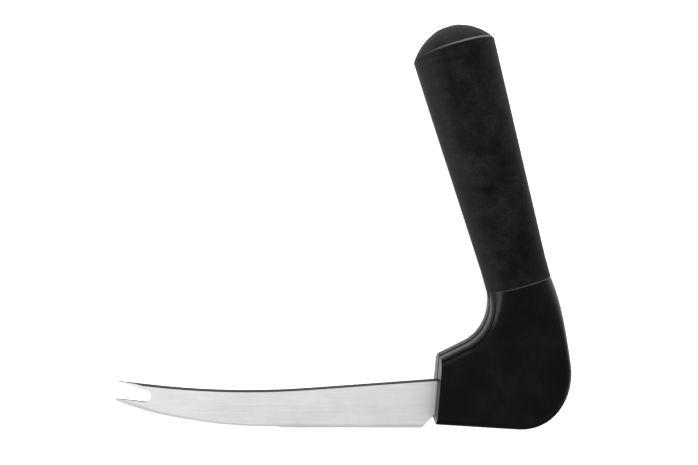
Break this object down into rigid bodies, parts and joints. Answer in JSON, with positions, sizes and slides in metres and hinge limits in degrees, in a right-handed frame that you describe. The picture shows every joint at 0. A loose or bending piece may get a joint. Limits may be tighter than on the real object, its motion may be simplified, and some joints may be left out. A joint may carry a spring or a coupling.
{
  "type": "slicing knife",
  "caption": "Slicing knife whose leaning, rubber-sleeved grip stands up from the back of a serrated, fork-tipped steel blade, so the wrist stays straight while cutting.",
  "frame": {"origin": "centre of the bounding box in plan, at the level of the lowest point of the knife lying on its side", "axes": "+X along the straight cutting edge, from the point to the handle; +Y from the cutting edge towards the grip's domed end; +Z across the knife, out of the side that faces up"},
  "size_m": [0.2032, 0.1806, 0.0336],
  "materials": {
    "blade_steel": "satin, brushed along the blade",
    "handle_plastic": "fine even grain with a low sheen",
    "grip_rubber": "soft matte, slightly dusty"
  },
  "bodies": {
    "root": {"blade": "blade_steel", "handle_body": "handle_plastic", "grip_sleeve": "grip_rubber"}
  },
  "joints": []
}
